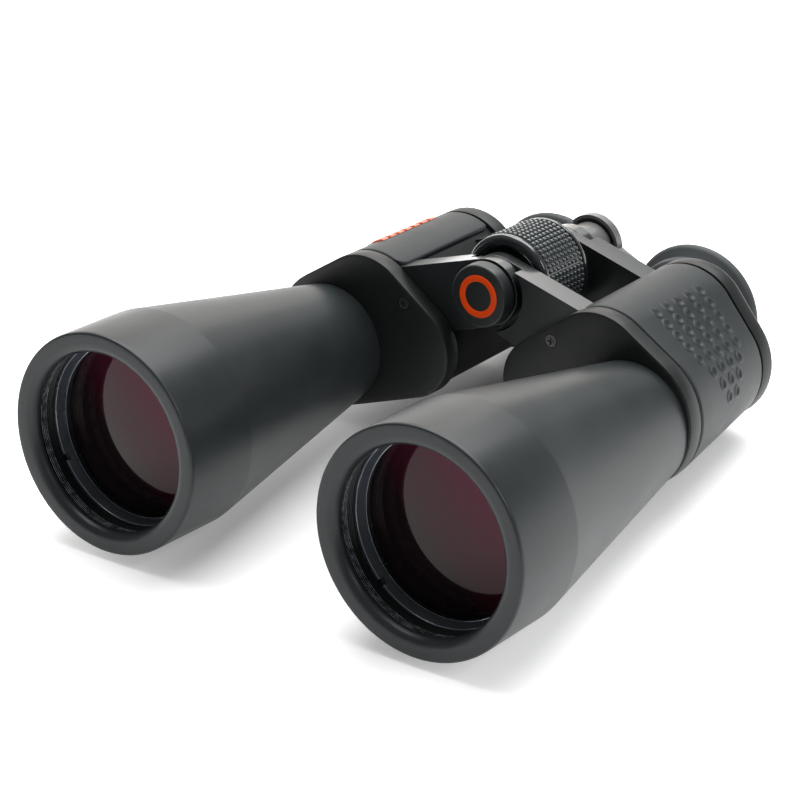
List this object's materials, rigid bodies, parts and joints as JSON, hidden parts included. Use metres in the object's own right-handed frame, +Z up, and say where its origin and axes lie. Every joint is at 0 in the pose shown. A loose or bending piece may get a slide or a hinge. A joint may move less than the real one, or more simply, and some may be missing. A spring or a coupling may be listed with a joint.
{
  "type": "astronomy binoculars",
  "caption": "Large centre-focus Porro-prism binoculars with deep hooded objectives, armoured prism bodies, a studded focus wheel, a folding hinge and rubber eyecups.",
  "frame": {"origin": "middle of the bounding box in plan, on the plane under the two hoods", "axes": "+Y along the light path from the objectives to the eyes, +X to the user's left-hand half, +Z up"},
  "size_m": [0.2036, 0.225, 0.0878],
  "materials": {
    "barrel_paint": "satin soft-touch graphite paint",
    "cover_black": "matte black moulded plastic",
    "housing_plastic": "satin dark grey moulded plastic",
    "armour_rubber": "matte graphite rubber skin",
    "arm_paint": "satin dark grey paint on die-cast metal",
    "objective_glass": "purple-red coated glass",
    "eyepiece_glass": "blue-coated glass",
    "prism_glass": "clear polished optical glass",
    "black_anodised": "black anodised, satin",
    "black_steel": "blackened steel screw",
    "spring_steel": "bare spring steel",
    "shaft_steel": "ground steel",
    "washer_brass": "turned brass",
    "wheel_plastic": "semi-gloss black plastic",
    "grip_rubber": "studded black rubber grip",
    "eyepiece_black": "satin black plastic",
    "eyecup_rubber": "matte dark grey rubber",
    "cap_plastic": "satin black plastic",
    "badge_orange": "plain orange enamel"
  },
  "bodies": {
    "left_half": {"left_objective_barrel": "barrel_paint", "left_hood_ring": "barrel_paint", "left_objective_cell": "black_anodised", "left_retaining_ring": "black_anodised", "left_pressure_ring": "black_anodised", "left_crown_lens": "objective_glass", "left_flint_lens": "objective_glass", "left_front_plate": "cover_black", "left_plate_screws": "black_steel", "left_housing": "housing_plastic", "left_armour": "armour_rubber", "left_prism_shelf": "black_anodised", "left_rear_prism": "prism_glass", "left_front_prism": "prism_glass", "left_prism_clips": "spring_steel", "left_rear_cover": "cover_black", "left_cover_screws": "black_steel", "left_eyepiece_guide": "black_anodised", "hinge_shaft": "shaft_steel", "thrust_washer": "washer_brass", "spacer_bush": "arm_paint"},
    "right_half": {"right_objective_barrel": "barrel_paint", "right_hood_ring": "barrel_paint", "right_objective_cell": "black_anodised", "right_retaining_ring": "black_anodised", "right_pressure_ring": "black_anodised", "right_crown_lens": "objective_glass", "right_flint_lens": "objective_glass", "right_front_plate": "cover_black", "right_plate_screws": "black_steel", "right_housing": "housing_plastic", "right_armour": "armour_rubber", "right_prism_shelf": "black_anodised", "right_rear_prism": "prism_glass", "right_front_prism": "prism_glass", "right_prism_clips": "spring_steel", "right_rear_cover": "cover_black", "right_cover_screws": "black_steel", "right_eyepiece_guide": "black_anodised"},
    "focus_wheel": {"focus_wheel": "wheel_plastic", "focus_grip": "grip_rubber"},
    "left_ocular": {"left_bridge_arm": "arm_paint", "left_eyepiece_collar": "eyepiece_black", "left_eyepiece_barrel": "eyepiece_black", "left_field_lens": "eyepiece_glass", "left_eye_lens": "eyepiece_glass", "left_eyepiece_ring": "black_anodised", "left_eyecup": "eyecup_rubber", "focus_spindle": "shaft_steel", "bridge_sleeve": "arm_paint", "bridge_cap": "cap_plastic"},
    "right_ocular": {"right_bridge_arm": "arm_paint"},
    "right_eyepiece": {"right_eyepiece_barrel": "eyepiece_black", "right_field_lens": "eyepiece_glass", "right_eye_lens": "eyepiece_glass", "right_eyepiece_ring": "black_anodised", "right_eyecup": "eyecup_rubber"},
    "diopter_ring": {"right_diopter_ring": "eyepiece_black"},
    "tripod_cap": {"tripod_cap": "cap_plastic", "cap_badge": "badge_orange"}
  },
  "joints": [
    {"name": "eye_spacing_hinge", "type": "hinge", "parent": "left_half", "child": "right_half", "pos_m": [0, 0, 0.0699], "axis": [0, 1, 0], "range_deg": [-12, 24]},
    {"name": "focus_turn", "type": "hinge", "parent": "left_half", "child": "focus_wheel", "pos_m": [0, 0.042, 0.0699], "axis": [0, 1, 0], "range_deg": [-90.5, 360.5]},
    {"name": "left_ocular_slide", "type": "slide", "parent": "left_half", "child": "left_ocular", "axis": [0, 1, 0], "range_m": [-0.002, 0.008]},
    {"name": "right_ocular_slide", "type": "slide", "parent": "right_half", "child": "right_ocular", "axis": [0, 1, 0], "range_m": [-0.0021, 0.0081]},
    {"name": "diopter_turn", "type": "hinge", "parent": "right_ocular", "child": "diopter_ring", "pos_m": [-0.031, 0.0942, 0.0435], "axis": [0, 1, 0], "range_deg": [-50.5, 50.5]},
    {"name": "diopter_slide", "type": "slide", "parent": "right_ocular", "child": "right_eyepiece", "axis": [0, 1, 0], "range_m": [-0.0012, 0.0012]},
    {"name": "tripod_cap_slide", "type": "slide", "parent": "left_half", "child": "tripod_cap", "axis": [0, -1, 0], "range_m": [0, 0.02]}
  ],
  "couplings": [
    {"joint": "focus_turn", "follows": "left_ocular_slide", "rad_per_m": 785.4},
    {"joint": "right_ocular_slide", "follows": "left_ocular_slide", "ratio": 1},
    {"joint": "diopter_turn", "follows": "diopter_slide", "rad_per_m": 730}
  ]
}
